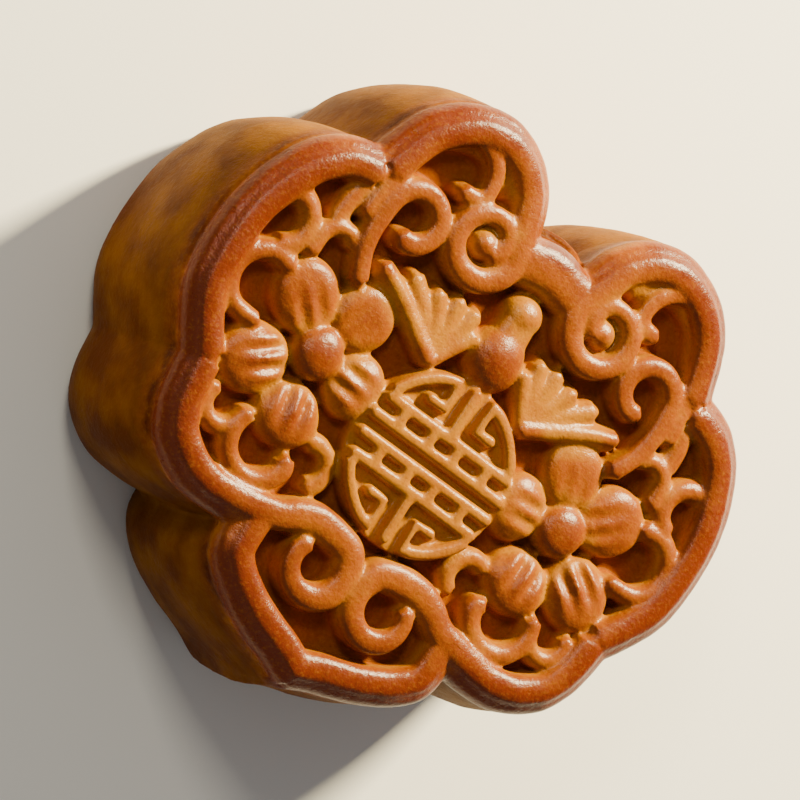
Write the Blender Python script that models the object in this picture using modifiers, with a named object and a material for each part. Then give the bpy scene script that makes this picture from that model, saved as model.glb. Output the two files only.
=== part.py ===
"""A pressed mooncake: one solid lobed cake whose face carries a rim, scrolls and two flowers."""

import math

import bmesh
import bpy
from mathutils import Matrix, Vector

MM = 0.001

# Driving dimensions, in millimetres. The pattern is drawn from the medallion's centre, +Y runs
# to the notch, and the left half is mirrored. Crests are heights above or below the rim's crest.
# MIDDLE_Y is the face's middle along Y, and ORIGIN_Y that of the whole cake with its leaning wall.
THICKNESS = 29.5
RELIEF = 3.8
RIM = 1.8
SHOULDER = 2.0
MIDDLE_Y = 3.95
ORIGIN_Y = 3.265
MEDALLION = 10.4
FRET_BAR = 0.75
FRET_DEPTH = 1.3
FLOWER = (-18.2, 2.8)
FLOWER_EYE = 3.2
SCROLL_EYE = (-9.0, 23.1)

# The outer edge of the left half, from the notch to the foot: one smooth run for each lobe.
NOTCH = [(0.0, 28.6), (-2.4, 28.2), (-4.4, 27.0)]
LOBE_TOP = [
    (-4.4, 27.0), (-5.6, 30.6), (-8.6, 33.8), (-13.2, 35.3), (-18.3, 33.9), (-22.4, 29.9), (-24.6, 24.0)]
LOBE_SIDE = [
    (-24.6, 24.0), (-28.3, 23.0), (-32.1, 19.6), (-34.7, 13.4), (-35.4, 7.0), (-34.4, 0.5), (-30.6, -5.4)]
LOBE_LOW = [(-30.6, -5.4), (-30.0, -9.8), (-28.0, -13.8), (-23.8, -16.4), (-19.4, -17.0), (-15.2, -16.7)]
LOBE_FOOT = [(-15.2, -16.7), (-14.8, -20.2), (-11.8, -23.2), (-7.2, -25.4), (-3.0, -26.7), (0.0, -28.0)]

# Each petal: its middle, half its length and width, and the depth of its folds. Its length points
# at the flower's eye.
PETALS = [
    (-15.8, 8.8, 4.1, 3.9, 0.12), (-22.9, 7.0, 4.5, 4.2, 0.25), (-24.2, -1.7, 4.5, 4.2, 0.5),
    (-17.2, -4.6, 3.9, 4.3, 0.45), (-12.3, 2.2, 3.7, 4.0, 0.35)]

# The leaf: its low tip, and the far end and half width of each blade that fans out from there.
LEAF_TIP = (-6.9, 9.2)
BLADES = [(-17.6, 14.5, 1.4), (-13.6, 15.7, 1.3), (-10.2, 15.9, 1.2), (-7.4, 16.6, 1.2), (-4.9, 16.4, 1.2)]

# The side wall: heights, the share of the outline's size there, and how far it leans along Y.
WALL = [
    (-1.5, 0.94, -0.6), (0.0, 0.98, -0.6), (2.0, 1.01, -0.7), (6.0, 1.045, -0.7), (14.5, 1.065, -0.5),
    (20.0, 1.06, -0.3), (25.7, 1.035, 0.0)]

# How far out a rib's legs reach at their foot, for each fullness of its section.
FEET = {2.0: 1.15, 2.2: 0.6, 2.7: 1.15}

# How the pieces are fused: the grain, the rounds of smoothing and the share of faces kept.
VOXEL = 0.42
SOFTENING = 4
KEPT = 0.038


def clear_scene():
    for obj in list(bpy.data.objects):
        bpy.data.objects.remove(obj)


def collection(name):
    made = bpy.data.collections.new(name)
    bpy.context.scene.collection.children.link(made)
    return made


def through(points, steps=6):
    """A smooth run through the points (Catmull-Rom), whatever numbers each point holds."""
    ends = [points[0], *points, points[-1]]
    run = []
    for a, b, c, d in zip(ends, ends[1:], ends[2:], ends[3:]):
        for step in range(steps):
            t = step / steps
            run.append(tuple(between(t, *four) for four in zip(a, b, c, d)))
    return [*run, tuple(points[-1])]


def between(t, a, b, c, d):
    bend = (2 * a - 5 * b + 4 * c - d) * t * t + (3 * b - a - 3 * c + d) * t ** 3
    return b + 0.5 * ((c - a) * t + bend)


def inset(points, distance):
    """The run moved towards the right of its direction by a distance."""
    moved = []
    for before, (x, y), after in zip([points[0], *points], points, [*points[1:], points[-1]]):
        along = Vector(after) - Vector(before)
        along.normalize()
        moved.append((x + distance * along.y, y - distance * along.x))
    return moved


def spiral(centre, radii, angles, widths):
    """Points (x, y, half width) round a centre, as radius, angle and half width change evenly."""
    count = max(2, round(abs(angles[1] - angles[0]) / 30))
    run = []
    for step in range(count + 1):
        radius, angle, width = (a + (b - a) * step / count for a, b in (radii, angles, widths))
        x = centre[0] + radius * math.cos(math.radians(angle))
        y = centre[1] + radius * math.sin(math.radians(angle))
        run.append((x, y, width))
    return run


def rim_of(lobe):
    """The middle of the rim along a lobe, as (x, y, half width)."""
    return [(x, y, RIM) for x, y in inset(through(lobe, 2), -RIM)]


def outline():
    """The whole outer edge, as one closed run of points."""
    half = []
    for run in (NOTCH, LOBE_TOP, LOBE_SIDE, LOBE_LOW, LOBE_FOOT):
        half += through(run)[:-1]
    half.append(LOBE_FOOT[-1])
    return half + [(-x, y) for x, y in half[-2:0:-1]]


class Dough:
    """Overlapping closed shapes gathered together, to be fused later."""

    def __init__(self, helpers):
        self.pieces = []
        self.helpers = helpers
        self.sections = {full: self.section(full) for full in FEET}

    def section(self, full):
        """A rib's section: a crest on the path, over legs. More full is flatter."""
        data = bpy.data.curves.new("section", "CURVE")
        corners = []
        for k in range(13):
            turn = math.pi * k / 12
            x, y = (math.copysign(abs(f(turn)) ** (2 / full), f(turn)) for f in (math.cos, math.sin))
            corners.append((x, y - 1))
        corners += [(-FEET[full], -4.2), (FEET[full], -4.2)]
        spline = data.splines.new("POLY")
        spline.points.add(len(corners) - 1)
        for point, (x, y) in zip(spline.points, corners):
            point.co = (x * MM, y * MM, 0, 1)
        spline.use_cyclic_u = True
        return self.helper("section", data)

    def helper(self, name, data):
        obj = bpy.data.objects.new(name, data)
        obj.hide_render = True
        self.helpers.objects.link(obj)
        return obj

    def take(self, obj):
        """Adds an object's evaluated mesh, its loose caps welded, and removes the object."""
        graph = bpy.context.evaluated_depsgraph_get()
        data = bpy.data.meshes.new_from_object(obj.evaluated_get(graph))
        bpy.data.objects.remove(obj)
        piece = bmesh.new()
        piece.from_mesh(data)
        bpy.data.meshes.remove(data)
        bmesh.ops.remove_doubles(piece, verts=piece.verts, dist=1e-6)
        self.keep(piece)

    def keep(self, piece):
        """Stores a closed piece, its faces turned outwards."""
        bmesh.ops.recalc_face_normals(piece, faces=piece.faces)
        data = bpy.data.meshes.new("piece")
        piece.to_mesh(data)
        piece.free()
        self.pieces.append(data)

    def object(self, name):
        """One object of all the pieces."""
        joined = bmesh.new()
        for piece in self.pieces:
            joined.from_mesh(piece)
            bpy.data.meshes.remove(piece)
        data = bpy.data.meshes.new(name)
        joined.to_mesh(data)
        joined.free()
        for section in self.sections.values():
            bpy.data.objects.remove(section)
        return bpy.data.objects.new(name, data)

    def rib(self, points, crest=0.0, steps=6, full=2.0):
        """A rounded rib with round ends, along points (x, y, half width)."""
        run = through(points, steps)
        data = bpy.data.curves.new("rib", "CURVE")
        data.dimensions = "3D"
        data.twist_mode = "Z_UP"
        data.bevel_mode = "OBJECT"
        data.bevel_object = self.sections[full]
        data.use_fill_caps = True
        spline = data.splines.new("POLY")
        spline.points.add(len(run) - 1)
        for point, (x, y, half_width) in zip(spline.points, run):
            point.co = (x * MM, y * MM, (THICKNESS + crest) * MM, 1)
            point.radius = half_width
        self.take(self.helper("rib", data))
        for x, y, half_width in (run[0], run[-1]):
            self.knob(x, y, half_width, half_width, crest, flat=2 / full)

    def knob(self, x, y, rx, ry, crest=0.0, turn=0.0, flat=0.7, dish=0.0, folds=0.0):
        """A rounded post. A low flat squares its shoulders. A dish hollows its top.

        Folds run over the half that lies towards -X before the turn, which also dips a little."""
        height = RELIEF + 1.5
        place = Matrix.Translation((x, y, THICKNESS + crest - height))
        place = Matrix.Scale(MM, 4) @ place @ Matrix.Rotation(math.radians(turn), 4, "Z")
        ball = bmesh.new()
        bmesh.ops.create_uvsphere(ball, u_segments=40, v_segments=24, radius=1.0)
        for vert in ball.verts:
            across, up = vert.co.xy, vert.co.z
            if up > 0:
                inside = max(0.0, 1.0 - across.length_squared)
                root = min(1.0, max(0.0, 0.55 - across.x))
                ridge = folds * root * inside * math.cos(2 * math.pi * across.y / 0.52)
                dip = 0.9 * folds * root ** 2 + dish * inside
                up = up ** flat + (ridge - dip) / height
            vert.co = place @ Vector((across.x * rx, across.y * ry, up * height))
        self.keep(ball)


def add_rim(left):
    """The rim of each lobe, over its shoulder. The top and low ones run on into scrolls."""
    for lobe in (LOBE_TOP, LOBE_SIDE, LOBE_LOW, LOBE_FOOT):
        edge = inset(through(lobe, 2), -0.9)
        left.rib([(x, y, SHOULDER) for x, y in edge], crest=-0.7, full=2.2)
    scroll = spiral(SCROLL_EYE, (4.2, 3.3), (10, -270), (1.65, 1.15))
    scroll += spiral(SCROLL_EYE, (3.0, 1.2), (-300, -390), (1.1, 1.2))
    left.rib(list(reversed(rim_of(LOBE_TOP)[1:])) + scroll, full=2.7)
    left.knob(*SCROLL_EYE, 2.1, 2.1, 0.0, flat=0.5)
    left.rib(rim_of(LOBE_SIDE), full=2.7)
    curl = [(-12.6, -14.2, 1.8), (-9.8, -12.8, 1.95), (-7.0, -12.0, 2.0)]
    curl += spiral((-4.9, -16.1), (4.1, 2.8), (60, -215), (1.95, 1.1))
    left.rib(rim_of(LOBE_LOW)[:-2] + curl, full=2.7)
    left.rib([(-13.2, -14.2, 1.5), *rim_of(LOBE_FOOT)], crest=-0.15, full=2.7)


def add_top_lobe(left):
    """Two curls beside the scroll, on a slope that falls from the rim."""
    slope = [(-22.3, 26.5), (-20.0, 30.4), (-15.9, 32.3), (-12.0, 31.6), (-8.9, 29.6)]
    left.rib([(x, y, 2.3) for x, y in slope], crest=-1.1)
    outer = [(-22.9, 18.0, 1.0), (-22.4, 22.0, 1.1), (-21.6, 25.8, 1.1)]
    outer += spiral((-15.9, 27.6), (5.2, 4.0), (165, 10), (1.15, 1.1))
    left.rib(outer + [(-12.4, 26.7, 1.1), (-14.6, 26.3, 1.2)], crest=-0.4, full=2.7)
    inner = [(-19.2, 11.6, 1.2), (-20.6, 14.4, 1.2), (-21.2, 17.4, 1.25)]
    left.rib(inner + spiral((-17.5, 20.6), (3.6, 2.5), (175, -100), (1.3, 1.3)), crest=-0.2, full=2.7)


def add_leaf(left):
    """A leaf beside the knob: blades that fan out from its low tip."""
    for x, y, half_width in BLADES:
        middle = ((x + LEAF_TIP[0]) / 2, (y + LEAF_TIP[1]) / 2 + 0.4, half_width * 1.15)
        left.rib([(*LEAF_TIP, 0.9), middle, (x, y, half_width)], crest=-0.8)
    left.rib([(*LEAF_TIP, 1.2), (-10.2, 11.0, 1.2), (-13.8, 13.0, 1.1), (-17.6, 14.6, 1.0)], crest=-0.4)
    left.rib([(*LEAF_TIP, 0.9), (-5.4, 11.8, 1.1), (-3.7, 14.4, 1.0)], crest=-0.7)


def add_flower(left):
    """A round eye and five dished petals, with folds that run to the eye."""
    left.knob(*FLOWER, FLOWER_EYE, FLOWER_EYE, 0.15, flat=0.4, dish=0.3)
    for x, y, half_length, half_width, folds in PETALS:
        turn = math.degrees(math.atan2(y - FLOWER[1], x - FLOWER[0]))
        left.knob(x, y, half_length, half_width, 0.0, turn, flat=0.36, dish=1.0 - folds, folds=folds)


def add_vines(left):
    """The small tendrils between the flower and the rim."""
    left.rib([(-25.1, 15.6, 1.4), (-24.9, 18.0, 1.5), (-24.4, 20.2, 1.5)], crest=-0.9)
    left.rib([(-32.0, 14.6, 1.2), *spiral((-30.2, 12.4), (3.1, 2.9), (100, -70), (1.4, 1.3))], crest=-0.7)
    left.rib([(-25.9, 11.2, 1.3), *spiral((-23.4, 12.9), (2.4, 2.4), (170, 40), (1.2, 1.1))], crest=-0.7)
    loop = spiral((-28.3, 5.2), (3.7, 3.8), (65, 250), (1.35, 1.15))
    left.rib([*loop, (-26.6, 1.5, 1.1)], crest=-0.6)
    left.rib([(-27.3, 11.8, 1.4), (-26.4, 13.8, 1.4)], crest=-1.2)
    left.rib(spiral((-24.1, -7.7), (2.4, 2.2), (150, 350), (1.1, 1.1)), crest=-0.9)
    hook = spiral((-18.0, -8.9), (3.9, 3.8), (150, 345), (1.2, 1.45))
    left.rib([*hook, (-14.7, -8.7, 1.4)], crest=-0.6)
    left.rib(spiral((-11.9, -7.6), (2.5, 2.4), (-60, 120), (1.2, 1.3)), crest=-1.4)


def add_middle(whole):
    """The knob on the axis, the band across the notch, and the fret medallion."""
    whole.knob(0, 13.9, 3.8, 4.2, 0.2, flat=0.5)
    whole.rib([(0, 14.0, 3.0), (0, 17.0, 2.6), (0, 19.0, 2.4)], crest=-0.5, full=2.7)
    whole.knob(0, 19.4, 2.8, 2.6, -0.2, flat=0.45)
    whole.rib([(-4.6, 24.3, 2.9), (0, 25.2, 3.1), (4.6, 24.3, 2.9)], crest=-0.1, full=2.7)
    disc = bmesh.new()
    radius, depth = MEDALLION * MM, 8 * MM
    bmesh.ops.create_cone(disc, cap_ends=True, segments=96, radius1=radius, radius2=radius, depth=depth)
    top = (THICKNESS - 0.2 - FRET_DEPTH) * MM
    bmesh.ops.translate(disc, verts=disc.verts, vec=(0, 0, top - depth / 2))
    whole.keep(disc)
    for half_turn in (1, -1):
        for stroke in fret_strokes():
            bar = [(half_turn * x, half_turn * y, FRET_BAR) for x, y in stroke]
            whole.rib(bar, crest=-0.2, steps=1, full=2.7)


def fret_strokes():
    """Half of the fret: two long bars with links, a stem, and a hook in each quarter."""
    reach = MEDALLION - FRET_BAR
    step = reach / 8
    for level in (1, 3):
        end = math.sqrt(reach ** 2 - (level * step) ** 2)
        yield [(-end, level * step), (end, level * step)]
    for link in (-5, -1.5, 1.5, 5):
        yield [(link * step, step), (link * step, 3 * step)]
    yield [(0, 3 * step), (0, reach)]
    for side in (1, -1):
        arc = [math.radians(turn) for turn in range(27, 78, 6)]
        hook = [(side * reach * math.cos(turn), reach * math.sin(turn)) for turn in arc]
        yield [*hook, (side * 2 * step, 5 * step), (side * 4 * step, 5 * step)]


def add_body(whole):
    """The cake under the relief: the outline, drawn up through the heights of the side wall."""
    middle = Vector((0, MIDDLE_Y))
    body = bmesh.new()
    rings = []
    for height, share, lean in through(WALL, 4):
        places = [middle + (Vector(point) - middle) * share + Vector((0, lean)) for point in outline()]
        rings.append([body.verts.new((x * MM, y * MM, height * MM)) for x, y in places])
    for lower, upper in zip(rings, rings[1:]):
        for i in range(len(lower)):
            body.faces.new((lower[i - 1], lower[i], upper[i], upper[i - 1]))
    body.faces.new(rings[0])
    body.faces.new(rings[-1])
    whole.keep(body)


def dough_material():
    material = bpy.data.materials.new("baked dough")
    material.use_nodes = True
    shader = material.node_tree.nodes["Principled BSDF"]
    shader.inputs["Base Color"].default_value = (0.42, 0.14, 0.025, 1.0)
    shader.inputs["Roughness"].default_value = 0.4
    shader.inputs["Metallic"].default_value = 0.0
    return material


def fuse(obj, cutter):
    """Fuses the shapes into one skin, softens it, and cuts the base flat."""
    remesh = obj.modifiers.new("one skin", "REMESH")
    remesh.mode = "VOXEL"
    remesh.voxel_size = VOXEL * MM
    smooth = obj.modifiers.new("soften", "SMOOTH")
    smooth.iterations = SOFTENING
    thin = obj.modifiers.new("thin out", "DECIMATE")
    thin.ratio = KEPT
    flat = obj.modifiers.new("flat base", "BOOLEAN")
    flat.operation = "INTERSECT"
    flat.object = cutter


def above_base(helpers):
    """A block larger than the cake, whose lower face is the surface that the cake rests on."""
    side = 4 * THICKNESS * MM
    bpy.ops.mesh.primitive_cube_add(size=side, location=(0, 0, side / 2))
    block = bpy.context.object
    block.name = "above_base"
    block.hide_render = True
    block.display_type = "WIRE"
    for owner in list(block.users_collection):
        owner.objects.unlink(block)
    helpers.objects.link(block)
    return block


def main():
    clear_scene()
    cake, helpers = collection("mooncake"), collection("helpers")
    left = Dough(helpers)
    for add in (add_rim, add_top_lobe, add_leaf, add_flower, add_vines):
        add(left)
    half = left.object("left half")
    helpers.objects.link(half)
    half.modifiers.new("both halves", "MIRROR").use_mirror_merge = False
    whole = Dough(helpers)
    bpy.context.view_layer.update()
    whole.take(half)
    add_body(whole)
    add_middle(whole)
    obj = whole.object("mooncake")
    cake.objects.link(obj)
    obj.location = (0, -ORIGIN_Y * MM, 0)
    obj.data.materials.append(dough_material())
    fuse(obj, above_base(helpers))
    obj.data.shade_smooth()


main()
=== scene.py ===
"""The looks of a pressed mooncake: its egg-washed relief, baked dough, floor, lights and camera."""

import math

import bmesh
import bpy
import numpy as np
from mathutils import Matrix, Vector, noise


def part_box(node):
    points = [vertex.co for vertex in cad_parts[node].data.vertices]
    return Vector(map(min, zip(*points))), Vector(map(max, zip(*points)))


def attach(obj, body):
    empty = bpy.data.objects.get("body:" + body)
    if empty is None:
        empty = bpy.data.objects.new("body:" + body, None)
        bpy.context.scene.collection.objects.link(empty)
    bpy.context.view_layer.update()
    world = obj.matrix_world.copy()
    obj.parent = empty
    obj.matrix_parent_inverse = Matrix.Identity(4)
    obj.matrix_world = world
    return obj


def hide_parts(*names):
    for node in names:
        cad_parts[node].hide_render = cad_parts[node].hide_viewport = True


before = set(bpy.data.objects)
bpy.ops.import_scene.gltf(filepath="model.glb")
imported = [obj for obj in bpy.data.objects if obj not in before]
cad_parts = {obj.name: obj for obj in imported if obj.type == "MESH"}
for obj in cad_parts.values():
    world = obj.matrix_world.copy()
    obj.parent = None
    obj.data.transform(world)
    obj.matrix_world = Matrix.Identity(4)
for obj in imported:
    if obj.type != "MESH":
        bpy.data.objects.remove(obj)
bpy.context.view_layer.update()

MM = 0.001

# The cake's own sizes, in millimetres. Its top comes from the imported mooncake part. The pattern is drawn
# from the medallion's centre, +Y runs to the notch, and the left half is mirrored. MIDDLE_Y is the face's
# middle along Y, and ORIGIN_Y that of the whole cake with its leaning wall.
TOP = (Vector(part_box("mooncake")[1]) / MM).z
CREST = TOP - 0.15
MIDDLE_Y = 3.95
ORIGIN_Y = 3.265
RELIEF = 3.8
RIM = 1.8
SHOULDER = 2.0
MEDALLION = 10.4
FRET_BAR = 0.75
FRET_DEPTH = 1.3
FLOWER = (-18.2, 2.8)
FLOWER_EYE = 3.2
SCROLL_EYE = (-9.0, 23.1)

# The outer edge of the left half, from the notch to the foot: one smooth run for each lobe.
NOTCH = [(0.0, 28.6), (-2.4, 28.2), (-4.4, 27.0)]
LOBE_TOP = [
    (-4.4, 27.0), (-5.6, 30.6), (-8.6, 33.8), (-13.2, 35.3), (-18.3, 33.9), (-22.4, 29.9), (-24.6, 24.0)]
LOBE_SIDE = [
    (-24.6, 24.0), (-28.3, 23.0), (-32.1, 19.6), (-34.7, 13.4), (-35.4, 7.0), (-34.4, 0.5), (-30.6, -5.4)]
LOBE_LOW = [(-30.6, -5.4), (-30.0, -9.8), (-28.0, -13.8), (-23.8, -16.4), (-19.4, -17.0), (-15.2, -16.7)]
LOBE_FOOT = [(-15.2, -16.7), (-14.8, -20.2), (-11.8, -23.2), (-7.2, -25.4), (-3.0, -26.7), (0.0, -28.0)]

# Each petal: its middle, half its length and width, and the depth of its folds. Its length points
# at the flower's eye.
PETALS = [
    (-15.8, 8.8, 4.1, 3.9, 0.12), (-22.9, 7.0, 4.5, 4.2, 0.25), (-24.2, -1.7, 4.5, 4.2, 0.5),
    (-17.2, -4.6, 3.9, 4.3, 0.45), (-12.3, 2.2, 3.7, 4.0, 0.35)]

# The leaf: its low tip, and the far end and half width of each blade that fans out from there.
LEAF_TIP = (-6.9, 9.2)
BLADES = [(-17.6, 14.5, 1.4), (-13.6, 15.7, 1.3), (-10.2, 15.9, 1.2), (-7.4, 16.6, 1.2), (-4.9, 16.4, 1.2)]

# The side wall: heights, the share of the outline's size there, and how far it leans along Y.
WALL = [
    (-1.5, 0.94, -0.6), (0.0, 0.98, -0.6), (2.0, 1.01, -0.7), (6.0, 1.045, -0.7), (14.5, 1.065, -0.5),
    (20.0, 1.06, -0.3), (25.7, 1.035, 0.0)]

# How far out a rib's legs reach at their foot, for each fullness of its section.
FEET = {2.0: 1.15, 2.2: 0.6, 2.7: 1.15}

# The skin: the grain of the fused dough, the rounds of smoothing, and the most triangles kept.
VOXEL = 0.25
SOFTENING = 6
MOST_TRIANGLES = 190000

# How far the skin strays, and over what span, in a broad swell and in a fine pucker. What lies lower
# than PRESSED is flat on the tray.
SWELL = 0.16
SWELL_SPAN = 7.0
PUCKER = 0.05
PUCKER_SPAN = 1.7
PUCKER_PLACE = Vector((9, 4, 2))
PRESSED = 0.02

# How brown the dough gets: everywhere, for each millimetre that it stands above what is near it and
# what is farther round it, and along the rim, which fades out between two distances from the edge.
BROWN = 0.20
BROWN_NEAR = 0.30
BROWN_FAR = 0.22
BROWN_RIM = 0.30
RIM_FADE = (1.0, 6.0)
NEAR = 1.2
FAR = 3.5

# Spots on both halves that the oven left pale or made browner: their x and y, the radius of their
# full strength, the width of their soft edge, and the strength.
PALE_SPOTS = [
    (0.0, 0.0, MEDALLION - 0.5, 0.8, 1.0), (-11.5, 13.8, 3.5, 2.0, 1.0), (-6.5, 14.0, 3.0, 1.5, 1.0),
    (0.0, 20.0, 2.0, 1.5, 0.8)]
BROWN_SPOTS = [(*FLOWER, 2.6, 1.5, 0.3), (0.0, 12.0, 3.0, 2.0, 0.3)]
# Where the painted shade in the hollows is weakened: over the medallion's frets.
MEDALLION_SPOT = (0.0, 0.0, MEDALLION - 1.0, 1.0, 0.7)

# The height of the burnt band on the wall and half its width, and, as a direction, the side of the wall
# that is painted lighter because the key lamp lights it there: painted light.
BAND = 25.3
BAND_REACH = 2.6
KEY_LAMP_SIDE = (0.28, 0.96, 0.0)

# The dough's colours.
GOLDEN = (0.33, 0.120, 0.0002)
ORANGE = (0.235, 0.054, 0.0001)
RED_BROWN = (0.12, 0.0155, 0.0001)
# Painted shade: the orange-brown that darkens the hollows.
SHADED_HOLLOW = (0.26, 0.060, 0.0002)
# Painted light: the wall colour on the side that the key lamp lights.
WALL_LIT_SIDE = (0.34, 0.130, 0.0005)
WALL_TAN = (0.15, 0.050, 0.0008)
WALL_BROWN = (0.075, 0.018, 0.0003)
BURNT = (0.035, 0.0030, 0.0001)
GLAZE = (0.60, 0.26, 0.01)

# The dough's noises: how many to the metre, their detail and their roughness.
PATCHES = (170.0, 3.0, 0.5)
BLOTCHES = (420.0, 3.0, 0.6)
GRAIN = (1100.0, 4.0, 0.6)
SPECKLE = (2400.0, 4.0, 0.65)

# The studio: the floor's and the sky's colours, and each lamp's direction (across, up and toward the
# camera, in its view), watts, width in metres and colour.
FLOOR = (0.90, 0.89, 0.87)
SKY = (1.0, 0.98, 0.95)
SKY_STRENGTH = 0.24
LAMP_DISTANCE = 0.5
LAMPS = {
    "key": ((1.0, 0.5, 0.2), 16.0, 0.06, (1.0, 0.85, 0.50)),
    "fill": ((0.1, 0.5, 1.0), 0.9, 0.10, (1.0, 0.92, 0.72))}

# The camera, seen from the middle of the face: degrees, millimetres and the lens.
AIM = Vector((-7.76, 0.515, 29.5))
AZIMUTH = -164.01
ELEVATION = 63.43
ROLL = 108.87
DISTANCE = 648.2
LENS = 270.0


# ---------------------------------------------------------------- shapes

def through(points, steps=6):
    """A smooth run through the points (Catmull-Rom), whatever numbers each point holds."""
    ends = [points[0], *points, points[-1]]
    run = []
    for a, b, c, d in zip(ends, ends[1:], ends[2:], ends[3:]):
        for step in range(steps):
            t = step / steps
            run.append(tuple(between(t, *four) for four in zip(a, b, c, d)))
    return [*run, tuple(points[-1])]


def between(t, a, b, c, d):
    bend = (2 * a - 5 * b + 4 * c - d) * t * t + (3 * b - a - 3 * c + d) * t ** 3
    return b + 0.5 * ((c - a) * t + bend)


def inset(points, distance):
    """The run moved towards the right of its direction by a distance."""
    moved = []
    for before, (x, y), after in zip([points[0], *points], points, [*points[1:], points[-1]]):
        along = Vector(after) - Vector(before)
        along.normalize()
        moved.append((x + distance * along.y, y - distance * along.x))
    return moved


def spiral(centre, radii, angles, widths):
    """Points (x, y, half width) round a centre, as radius, angle and half width change evenly."""
    count = max(2, round(abs(angles[1] - angles[0]) / 30))
    run = []
    for step in range(count + 1):
        radius, angle, width = (a + (b - a) * step / count for a, b in (radii, angles, widths))
        x = centre[0] + radius * math.cos(math.radians(angle))
        y = centre[1] + radius * math.sin(math.radians(angle))
        run.append((x, y, width))
    return run


def rim_of(lobe):
    """The middle of the rim along a lobe, as (x, y, half width)."""
    return [(x, y, RIM) for x, y in inset(through(lobe, 2), -RIM)]


def outline():
    """The whole outer edge, as one closed run of points."""
    half = []
    for run in (NOTCH, LOBE_TOP, LOBE_SIDE, LOBE_LOW, LOBE_FOOT):
        half += through(run)[:-1]
    half.append(LOBE_FOOT[-1])
    return half + [(-x, y) for x, y in half[-2:0:-1]]


class Dough:
    """Overlapping closed shapes gathered together, to be fused later."""

    def __init__(self):
        self.pieces = []
        self.sections = {full: section(full) for full in FEET}

    def take(self, obj):
        """Adds an object's evaluated mesh, its loose caps welded, and removes the object."""
        graph = bpy.context.evaluated_depsgraph_get()
        data = bpy.data.meshes.new_from_object(obj.evaluated_get(graph))
        bpy.data.objects.remove(obj)
        piece = bmesh.new()
        piece.from_mesh(data)
        bpy.data.meshes.remove(data)
        bmesh.ops.remove_doubles(piece, verts=piece.verts, dist=1e-6)
        self.keep(piece)

    def keep(self, piece):
        """Stores a closed piece, its faces turned outwards."""
        bmesh.ops.recalc_face_normals(piece, faces=piece.faces)
        data = bpy.data.meshes.new("piece")
        piece.to_mesh(data)
        piece.free()
        self.pieces.append(data)

    def object(self, name):
        """One object of all the pieces."""
        joined = bmesh.new()
        for piece in self.pieces:
            joined.from_mesh(piece)
            bpy.data.meshes.remove(piece)
        data = bpy.data.meshes.new(name)
        joined.to_mesh(data)
        joined.free()
        for used in self.sections.values():
            bpy.data.objects.remove(used)
        return helper(name, data)

    def rib(self, points, crest=0.0, steps=8, full=2.0):
        """A rounded rib with round ends, along points (x, y, half width)."""
        run = through(points, steps)
        data = bpy.data.curves.new("rib", "CURVE")
        data.dimensions = "3D"
        data.twist_mode = "Z_UP"
        data.bevel_mode = "OBJECT"
        data.bevel_object = self.sections[full]
        data.use_fill_caps = True
        spline = data.splines.new("POLY")
        spline.points.add(len(run) - 1)
        for point, (x, y, half_width) in zip(spline.points, run):
            point.co = (x * MM, y * MM, (CREST + crest) * MM, 1)
            point.radius = half_width
        self.take(helper("rib", data))
        for x, y, half_width in (run[0], run[-1]):
            self.knob(x, y, half_width, half_width, crest, flat=2 / full)

    def knob(self, x, y, rx, ry, crest=0.0, turn=0.0, flat=0.7, dish=0.0, folds=0.0):
        """A rounded post. A low flat squares its shoulders. A dish hollows its top.

        Folds run over the half that lies towards -X before the turn, which also dips a little."""
        height = RELIEF + 1.5
        place = Matrix.Translation((x, y, CREST + crest - height))
        place = Matrix.Scale(MM, 4) @ place @ Matrix.Rotation(math.radians(turn), 4, "Z")
        ball = bmesh.new()
        bmesh.ops.create_uvsphere(ball, u_segments=64, v_segments=40, radius=1.0)
        for vert in ball.verts:
            across, up = vert.co.xy, vert.co.z
            if up > 0:
                inside = max(0.0, 1.0 - across.length_squared)
                root = min(1.0, max(0.0, 0.55 - across.x))
                ridge = folds * root * inside * math.cos(2 * math.pi * across.y / 0.52)
                dip = 0.9 * folds * root ** 2 + dish * inside
                up = up ** flat + (ridge - dip) / height
            vert.co = place @ Vector((across.x * rx, across.y * ry, up * height))
        self.keep(ball)


def section(full):
    """A rib's section: a crest on the path, over legs. More full is flatter."""
    data = bpy.data.curves.new("section", "CURVE")
    corners = []
    for k in range(17):
        turn = math.pi * k / 16
        x, y = (math.copysign(abs(f(turn)) ** (2 / full), f(turn)) for f in (math.cos, math.sin))
        corners.append((x, y - 1))
    corners += [(-FEET[full], -4.2), (FEET[full], -4.2)]
    spline = data.splines.new("POLY")
    spline.points.add(len(corners) - 1)
    for point, (x, y) in zip(spline.points, corners):
        point.co = (x * MM, y * MM, 0, 1)
    spline.use_cyclic_u = True
    return helper("section", data)


def helper(name, data):
    obj = bpy.data.objects.new(name, data)
    bpy.context.scene.collection.objects.link(obj)
    return obj


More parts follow.
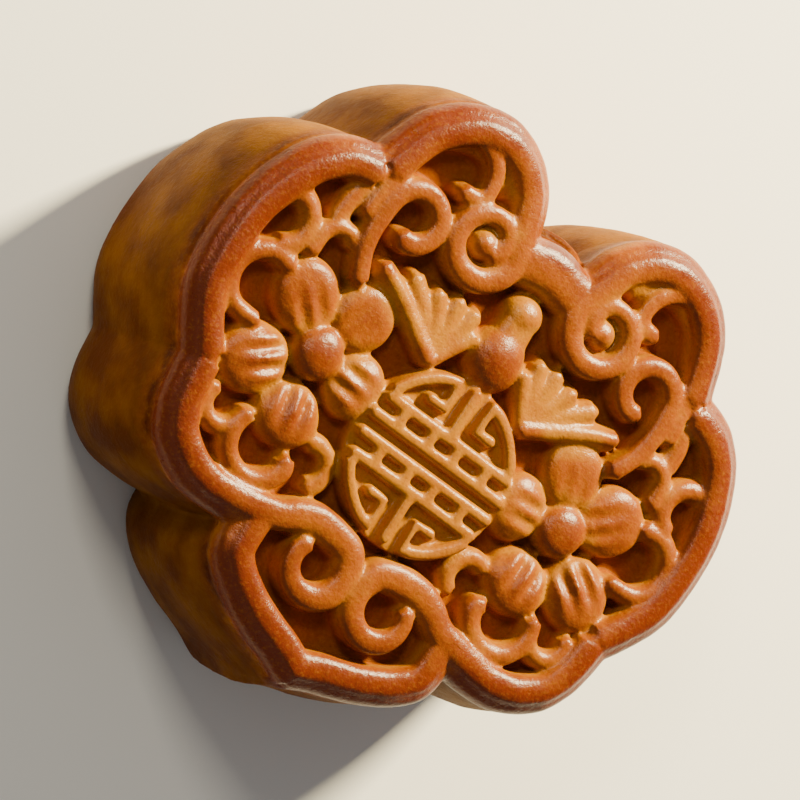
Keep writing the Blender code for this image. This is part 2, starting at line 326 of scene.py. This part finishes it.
def add_rim(left):
    """The rim of each lobe, over its shoulder. The top and low ones run on into scrolls."""
    for lobe in (LOBE_TOP, LOBE_SIDE, LOBE_LOW, LOBE_FOOT):
        edge = inset(through(lobe, 2), -0.9)
        left.rib([(x, y, SHOULDER) for x, y in edge], crest=-0.7, full=2.2)
    scroll = spiral(SCROLL_EYE, (4.2, 3.3), (10, -270), (1.65, 1.15))
    scroll += spiral(SCROLL_EYE, (3.0, 1.2), (-300, -390), (1.1, 1.2))
    left.rib(list(reversed(rim_of(LOBE_TOP)[1:])) + scroll, full=2.7)
    left.knob(*SCROLL_EYE, 2.1, 2.1, 0.0, flat=0.5)
    left.rib(rim_of(LOBE_SIDE), full=2.7)
    curl = [(-12.6, -14.2, 1.8), (-9.8, -12.8, 1.95), (-7.0, -12.0, 2.0)]
    curl += spiral((-4.9, -16.1), (4.1, 2.8), (60, -215), (1.95, 1.1))
    left.rib(rim_of(LOBE_LOW)[:-2] + curl, full=2.7)
    left.rib([(-13.2, -14.2, 1.5), *rim_of(LOBE_FOOT)], crest=-0.15, full=2.7)


def add_top_lobe(left):
    """Two curls beside the scroll, on a slope that falls from the rim."""
    slope = [(-22.3, 26.5), (-20.0, 30.4), (-15.9, 32.3), (-12.0, 31.6), (-8.9, 29.6)]
    left.rib([(x, y, 2.3) for x, y in slope], crest=-1.1)
    outer = [(-22.9, 18.0, 1.0), (-22.4, 22.0, 1.1), (-21.6, 25.8, 1.1)]
    outer += spiral((-15.9, 27.6), (5.2, 4.0), (165, 10), (1.15, 1.1))
    left.rib(outer + [(-12.4, 26.7, 1.1), (-14.6, 26.3, 1.2)], crest=-0.4, full=2.7)
    inner = [(-19.2, 11.6, 1.2), (-20.6, 14.4, 1.2), (-21.2, 17.4, 1.25)]
    left.rib(inner + spiral((-17.5, 20.6), (3.6, 2.5), (175, -100), (1.3, 1.3)), crest=-0.2, full=2.7)


def add_leaf(left):
    """A leaf beside the knob: blades that fan out from its low tip."""
    for x, y, half_width in BLADES:
        middle = ((x + LEAF_TIP[0]) / 2, (y + LEAF_TIP[1]) / 2 + 0.4, half_width * 1.15)
        left.rib([(*LEAF_TIP, 0.9), middle, (x, y, half_width)], crest=-0.8)
    left.rib([(*LEAF_TIP, 1.2), (-10.2, 11.0, 1.2), (-13.8, 13.0, 1.1), (-17.6, 14.6, 1.0)], crest=-0.4)
    left.rib([(*LEAF_TIP, 0.9), (-5.4, 11.8, 1.1), (-3.7, 14.4, 1.0)], crest=-0.7)


def add_flower(left):
    """A round eye and five dished petals, with folds that run to the eye."""
    left.knob(*FLOWER, FLOWER_EYE, FLOWER_EYE, 0.15, flat=0.4, dish=0.3)
    for x, y, half_length, half_width, folds in PETALS:
        turn = math.degrees(math.atan2(y - FLOWER[1], x - FLOWER[0]))
        left.knob(x, y, half_length, half_width, 0.0, turn, flat=0.36, dish=1.0 - folds, folds=folds)


def add_vines(left):
    """The small tendrils between the flower and the rim."""
    left.rib([(-25.1, 15.6, 1.4), (-24.9, 18.0, 1.5), (-24.4, 20.2, 1.5)], crest=-0.9)
    left.rib([(-32.0, 14.6, 1.2), *spiral((-30.2, 12.4), (3.1, 2.9), (100, -70), (1.4, 1.3))], crest=-0.7)
    left.rib([(-25.9, 11.2, 1.3), *spiral((-23.4, 12.9), (2.4, 2.4), (170, 40), (1.2, 1.1))], crest=-0.7)
    loop = spiral((-28.3, 5.2), (3.7, 3.8), (65, 250), (1.35, 1.15))
    left.rib([*loop, (-26.6, 1.5, 1.1)], crest=-0.6)
    left.rib([(-27.3, 11.8, 1.4), (-26.4, 13.8, 1.4)], crest=-1.2)
    left.rib(spiral((-24.1, -7.7), (2.4, 2.2), (150, 350), (1.1, 1.1)), crest=-0.9)
    hook = spiral((-18.0, -8.9), (3.9, 3.8), (150, 345), (1.2, 1.45))
    left.rib([*hook, (-14.7, -8.7, 1.4)], crest=-0.6)
    left.rib(spiral((-11.9, -7.6), (2.5, 2.4), (-60, 120), (1.2, 1.3)), crest=-1.4)


def add_middle(whole):
    """The knob on the axis, the band across the notch, and the fret medallion."""
    whole.knob(0, 13.9, 3.8, 4.2, 0.2, flat=0.5)
    whole.rib([(0, 14.0, 3.0), (0, 17.0, 2.6), (0, 19.0, 2.4)], crest=-0.5, full=2.7)
    whole.knob(0, 19.4, 2.8, 2.6, -0.2, flat=0.45)
    whole.rib([(-4.6, 24.3, 2.9), (0, 25.2, 3.1), (4.6, 24.3, 2.9)], crest=-0.1, full=2.7)
    disc = bmesh.new()
    radius, depth = MEDALLION * MM, 8 * MM
    bmesh.ops.create_cone(disc, cap_ends=True, segments=96, radius1=radius, radius2=radius, depth=depth)
    top = (CREST - 0.2 - FRET_DEPTH) * MM
    bmesh.ops.translate(disc, verts=disc.verts, vec=(0, 0, top - depth / 2))
    whole.keep(disc)
    for half_turn in (1, -1):
        for stroke in fret_strokes():
            bar = [(half_turn * x, half_turn * y, FRET_BAR) for x, y in stroke]
            whole.rib(bar, crest=-0.2, steps=1, full=2.7)


def fret_strokes():
    """Half of the fret: two long bars with links, a stem, and a hook in each quarter."""
    reach = MEDALLION - FRET_BAR
    step = reach / 8
    for level in (1, 3):
        end = math.sqrt(reach ** 2 - (level * step) ** 2)
        yield [(-end, level * step), (end, level * step)]
    for link in (-5, -1.5, 1.5, 5):
        yield [(link * step, step), (link * step, 3 * step)]
    yield [(0, 3 * step), (0, reach)]
    for side in (1, -1):
        arc = [math.radians(turn) for turn in range(27, 78, 6)]
        hook = [(side * reach * math.cos(turn), reach * math.sin(turn)) for turn in arc]
        yield [*hook, (side * 2 * step, 5 * step), (side * 4 * step, 5 * step)]


def add_body(whole):
    """The cake under the relief: the outline, drawn up through the heights of the side wall."""
    middle = Vector((0, MIDDLE_Y))
    body = bmesh.new()
    rings = []
    for height, share, lean in through(WALL, 4):
        places = [middle + (Vector(point) - middle) * share + Vector((0, lean)) for point in outline()]
        rings.append([body.verts.new((x * MM, y * MM, height * MM)) for x, y in places])
    for lower, upper in zip(rings, rings[1:]):
        for i in range(len(lower)):
            body.faces.new((lower[i - 1], lower[i], upper[i], upper[i - 1]))
    body.faces.new(rings[0])
    body.faces.new(rings[-1])
    whole.keep(body)


def pressed_cake():
    """All the shapes fused into one softened skin, with a flat base."""
    left = Dough()
    for add in (add_rim, add_top_lobe, add_leaf, add_flower, add_vines):
        add(left)
    half = left.object("left half")
    half.modifiers.new("both halves", "MIRROR").use_mirror_merge = False
    whole = Dough()
    bpy.context.view_layer.update()
    whole.take(half)
    add_body(whole)
    add_middle(whole)
    cake = whole.object("mooncake_dough")
    cake.data.transform(Matrix.Translation((0, -ORIGIN_Y * MM, 0)))
    remesh = cake.modifiers.new("one skin", "REMESH")
    remesh.mode = "VOXEL"
    remesh.voxel_size = VOXEL * MM
    cake.modifiers.new("soften", "SMOOTH").iterations = SOFTENING
    settle(cake)
    faces = 2 * len(cake.data.polygons)
    cake.modifiers.new("thin out", "DECIMATE").ratio = min(1.0, MOST_TRIANGLES / faces)
    settle(cake)
    return cake


def settle(obj):
    """Turns an object's modifiers into its mesh."""
    bpy.context.view_layer.update()
    data = bpy.data.meshes.new_from_object(obj.evaluated_get(bpy.context.evaluated_depsgraph_get()))
    obj.modifiers.clear()
    old, obj.data = obj.data, data
    bpy.data.meshes.remove(old)


# ---------------------------------------------------------------- skin

def points_of(mesh):
    points = np.empty(len(mesh.vertices) * 3)
    mesh.vertices.foreach_get("co", points)
    return points.reshape(-1, 3) / MM


def normals_of(mesh):
    normals = np.empty(len(mesh.vertices) * 3)
    mesh.vertices.foreach_get("normal", normals)
    return normals.reshape(-1, 3)


def roughen(mesh):
    """Small unevenness of the baked dough, and a base that is exactly flat."""
    points, normals = points_of(mesh), normals_of(mesh)
    places = [Vector(point) for point in points]
    swell = np.array([noise.noise(place / SWELL_SPAN) for place in places])
    pucker = np.array([noise.noise(place / PUCKER_SPAN + PUCKER_PLACE) for place in places])
    points += normals * (SWELL * swell + PUCKER * pucker)[:, None]
    points[:, 2] = np.clip(points[:, 2], 0.0, TOP)
    points[points[:, 2] < PRESSED, 2] = 0.0
    mesh.vertices.foreach_set("co", (points * MM).ravel())
    mesh.update()


def height_above_surroundings(points, reach, cell=0.4, margin=6.0, lowest=5.0):
    """How far each point stands above the mean height round it, over a grid of cells.

    A cell with nothing above the lowest height is left out of the mean."""
    low = points[:, :2].min(axis=0) - margin
    size = np.ceil((points[:, :2].max(axis=0) + margin - low) / cell).astype(int) + 1
    at = np.round((points[:, :2] - low) / cell).astype(int)
    top = np.full(size, -1.0)
    np.maximum.at(top, (at[:, 0], at[:, 1]), points[:, 2])
    known = (top > lowest).astype(float)
    width = reach / cell
    taps = np.arange(-int(3 * width), int(3 * width) + 1)
    kernel = np.exp(-0.5 * (taps / width) ** 2)
    mean, weight = top * known, known
    for axis in (0, 1):
        mean = np.apply_along_axis(np.convolve, axis, mean, kernel, "same")
        weight = np.apply_along_axis(np.convolve, axis, weight, kernel, "same")
    ground = mean / np.maximum(weight, 1e-6)
    return points[:, 2] - ground[at[:, 0], at[:, 1]]


def depth_inside(points, start, end):
    """0 at a distance inside the outline, 1 at a greater one, along a line to the middle."""
    edge = np.array(through(outline(), 2))
    angles = np.arctan2(edge[:, 1] - MIDDLE_Y, edge[:, 0])
    reach = np.hypot(edge[:, 0], edge[:, 1] - MIDDLE_Y)
    order = np.argsort(angles)
    across, along = points[:, 0], points[:, 1] + ORIGIN_Y - MIDDLE_Y
    here = np.arctan2(along, across)
    limit = np.interp(here, angles[order], reach[order], period=2 * math.pi)
    inside = limit - np.hypot(across, along)
    return np.clip((inside - start) / (end - start), 0.0, 1.0)


def near(points, x, y, radius, softness, strength):
    """A spot's strength within its radius, on both halves, falling to 0 over the softness."""
    away = np.hypot(np.abs(points[:, 0]) - abs(x), points[:, 1] + ORIGIN_Y - y)
    return strength * np.clip((radius + softness - away) / softness, 0.0, 1.0)


def strongest(points, spots):
    """The strength of the strongest spot at each point."""
    return np.max([near(points, *spot) for spot in spots], axis=0)


def petal_spots(beyond=1.08, strength=0.35):
    """A brown spot on each petal but the last, a little beyond its middle."""
    eye = Vector(FLOWER)
    for x, y, half_length, _, _ in PETALS[:4]:
        place = eye + beyond * (Vector((x, y)) - eye)
        yield (*place, 0.5, half_length, strength)


def mark(mesh, name, values):
    layer = mesh.attributes.new(name, "FLOAT", "POINT")
    layer.data.foreach_set("value", np.clip(values, 0.0, 1.0).astype(np.float32))


def mark_baking(mesh):
    """Marks where the oven browned the dough, from its heights, its hollows and its spots; also the
    painted shade in the hollows, and the painted light on the side of the wall that faces the key lamp.
    """
    points = points_of(mesh)
    height = points[:, 2]
    fine = height_above_surroundings(points, NEAR)
    broad = height_above_surroundings(points, FAR)
    rim = 1.0 - depth_inside(points, *RIM_FADE)
    toast = BROWN + BROWN_FAR * broad + BROWN_NEAR * fine + BROWN_RIM * rim
    toast += strongest(points, [*BROWN_SPOTS, *petal_spots()])
    mark(mesh, "toast", np.clip(toast, 0.0, 1.0) * (1.0 - 0.8 * strongest(points, PALE_SPOTS)))
    # Painted shade in the hollows: the further a point lies below the broad mean round it, the more of it.
    hollow_shade = np.clip(-0.62 * broad - 0.3, 0.0, 1.0)
    mark(mesh, "painted_hollow_shade", hollow_shade * (1.0 - near(points, *MEDALLION_SPOT)))
    face = np.clip((height - (CREST - RELIEF - 2.0)) / 2.5, 0.0, 1.0)
    mark(mesh, "face", face)
    mark(mesh, "crest", (height - (CREST - 2.4)) / 1.6)
    outside = 1.0 - depth_inside(points, 0.0, 1.0)
    mark(mesh, "band", (1.0 - np.abs(height - BAND) / BAND_REACH) * outside)
    # Painted light: the wall is marked lighter where it faces the key lamp's side.
    facing = normals_of(mesh) @ np.array(KEY_LAMP_SIDE)
    mark(mesh, "lit_side", np.maximum(facing, 0.0) * (1.0 - face))


# ---------------------------------------------------------------- material

class Nodes:
    """Short calls for building a material's nodes."""

    def __init__(self, name):
        self.material = bpy.data.materials.new(name)
        self.material.use_nodes = True
        self.tree = self.material.node_tree
        self.shader = self.tree.nodes["Principled BSDF"]

    def add(self, kind, **values):
        node = self.tree.nodes.new(kind)
        for key, value in values.items():
            setattr(node, key, value)
        return node

    def join(self, out, into):
        self.tree.links.new(out, into)

    def attribute(self, name):
        return self.add("ShaderNodeAttribute", attribute_name=name).outputs["Fac"]

    def noise(self, scale, detail, roughness):
        node = self.add("ShaderNodeTexNoise")
        node.inputs["Scale"].default_value = scale
        node.inputs["Detail"].default_value = detail
        node.inputs["Roughness"].default_value = roughness
        self.join(self.place, node.inputs["Vector"])
        return node.outputs["Fac"]

    def math(self, operation, *values, clamp=False):
        node = self.add("ShaderNodeMath", operation=operation, use_clamp=clamp)
        for socket, value in zip(node.inputs, values):
            if isinstance(value, (int, float)):
                socket.default_value = value
            else:
                self.join(value, socket)
        return node.outputs[0]

    def plus(self, a, b):
        return self.math("ADD", a, b)

    def times(self, a, b):
        return self.math("MULTIPLY", a, b)

    def ramp(self, value, low, high):
        """0 below low, 1 above high."""
        node = self.add("ShaderNodeMapRange")
        node.inputs["From Min"].default_value = low
        node.inputs["From Max"].default_value = high
        self.join(value, node.inputs["Value"])
        return node.outputs["Result"]

    def mix(self, factor, a, b):
        """a where the factor is 0, b where it is 1."""
        node = self.add("ShaderNodeMix", data_type="RGBA")
        self.join(factor, node.inputs[0])
        for socket, value in zip((node.inputs[6], node.inputs[7]), (a, b)):
            if isinstance(value, tuple):
                socket.default_value = (*value, 1.0)
            else:
                self.join(value, socket)
        return node.outputs[2]


def face_colour(n, uneven):
    """Golden where it's least baked, then orange, then red-brown, and painted shade, an orange-brown, in
    the hollows.
    """
    browned = n.math("ADD", n.attribute("toast"), n.math("SUBTRACT", uneven, 0.55), clamp=True)
    colour = n.mix(n.ramp(browned, 0.02, 0.42), GOLDEN, ORANGE)
    colour = n.mix(n.ramp(browned, 0.42, 0.95), colour, RED_BROWN)
    return n.mix(n.attribute("painted_hollow_shade"), colour, SHADED_HOLLOW)


def wall_colour(n, patches, lit_side):
    """Patches of tan and brown, painted paler and more even on the side that faces the key lamp: painted
    light.
    """
    wall = n.mix(n.ramp(patches, 0.36, 0.64), WALL_BROWN, WALL_TAN)
    even = n.plus(0.55, n.times(n.ramp(patches, 0.35, 0.65), 0.45))
    return n.mix(n.times(lit_side, even), wall, WALL_LIT_SIDE)


def add_bump(n, height):
    bump = n.add("ShaderNodeBump")
    bump.inputs["Strength"].default_value = 0.5
    bump.inputs["Distance"].default_value = 0.00016
    n.join(height, bump.inputs["Height"])
    n.join(bump.outputs["Normal"], n.shader.inputs["Normal"])


def dough_material():
    """Egg-washed dough: a glossy browned face over a duller wall with a burnt band at its top."""
    n = Nodes("egg_washed_dough")
    n.place = n.add("ShaderNodeTexCoord").outputs["Object"]
    patches, blotches, grain, speckle = (n.noise(*made) for made in (PATCHES, BLOTCHES, GRAIN, SPECKLE))
    face, lit_side = n.attribute("face"), n.attribute("lit_side")
    uneven = n.plus(n.times(patches, 0.6), n.times(blotches, 0.5))
    colour = n.mix(face, wall_colour(n, patches, lit_side), face_colour(n, uneven))
    burnt = n.times(n.attribute("band"), n.ramp(uneven, 0.38, 0.66))
    # The burnt band fades out where the wall is painted lit by the key lamp.
    colour = n.mix(n.times(burnt, n.math("SUBTRACT", 1.0, lit_side)), colour, BURNT)
    dots = n.times(n.ramp(speckle, 0.52, 0.74), n.plus(0.03, n.times(face, 0.11)))
    colour = n.mix(dots, colour, GLAZE)
    pores = n.times(n.ramp(speckle, 0.46, 0.30), 0.35)
    n.join(n.mix(pores, colour, RED_BROWN), n.shader.inputs["Base Color"])
    rough = n.math("SUBTRACT", n.plus(0.40, n.times(grain, 0.20)), n.times(face, 0.20))
    n.join(rough, n.shader.inputs["Roughness"])
    gloss = n.plus(0.02, n.times(n.attribute("crest"), 0.34))
    n.join(gloss, n.shader.inputs["Specular IOR Level"])
    n.shader.inputs["Subsurface Weight"].default_value = 0.1
    n.shader.inputs["Subsurface Radius"].default_value = (1.0, 0.35, 0.08)
    n.shader.inputs["Subsurface Scale"].default_value = 0.001
    add_bump(n, n.plus(grain, n.times(speckle, 0.8)))
    return n.material


# ---------------------------------------------------------------- floor, lights and camera

def add_floor():
    bpy.ops.mesh.primitive_plane_add(size=4.0, location=(0, 0, -0.0001))
    floor = bpy.context.object
    floor.name = "floor"
    material = bpy.data.materials.new("pale_floor")
    material.use_nodes = True
    shader = material.node_tree.nodes["Principled BSDF"]
    shader.inputs["Base Color"].default_value = (*FLOOR, 1.0)
    shader.inputs["Roughness"].default_value = 0.8
    floor.data.materials.append(material)


def add_lamp(name, direction, power, width, colour):
    """A soft lamp, aimed at the cake from a direction in the camera's view."""
    view = camera_matrix().to_3x3()
    place = AIM * MM + (view @ Vector(direction)).normalized() * LAMP_DISTANCE
    light = bpy.data.lights.new(name, "AREA")
    light.energy = power
    light.size = width
    light.color = colour
    lamp = helper(name, light)
    lamp.location = place
    lamp.rotation_euler = (place - AIM * MM).to_track_quat("Z", "Y").to_euler()


def add_light():
    world = bpy.data.worlds.new("studio")
    world.use_nodes = True
    bpy.context.scene.world = world
    background = world.node_tree.nodes["Background"]
    background.inputs["Color"].default_value = (*SKY, 1.0)
    background.inputs["Strength"].default_value = SKY_STRENGTH
    for name, settings in LAMPS.items():
        add_lamp(name, *settings)


def camera_matrix():
    """The camera's place, looking at the aim, turned by the roll from upright."""
    azimuth, elevation, roll = (math.radians(angle) for angle in (AZIMUTH, ELEVATION, ROLL))
    flat = math.cos(elevation)
    back = Vector((math.cos(azimuth) * flat, math.sin(azimuth) * flat, math.sin(elevation)))
    level = Vector((0, 0, 1)).cross(back).normalized()
    right = level * math.cos(roll) + back.cross(level) * math.sin(roll)
    matrix = Matrix((right, back.cross(right), back)).transposed().to_4x4()
    matrix.translation = (AIM + back * DISTANCE) * MM
    return matrix


def add_camera():
    data = bpy.data.cameras.new("camera")
    data.sensor_width = 36.0
    data.lens = LENS
    data.clip_start = 0.01
    camera = helper("camera", data)
    camera.matrix_world = camera_matrix()
    bpy.context.scene.camera = camera


def main():
    add_camera()
    cake = pressed_cake()
    roughen(cake.data)
    mark_baking(cake.data)
    cake.data.shade_smooth()
    cake.data.materials.append(dough_material())
    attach(cake, "root")
    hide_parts("mooncake")
    add_floor()
    add_light()


main()
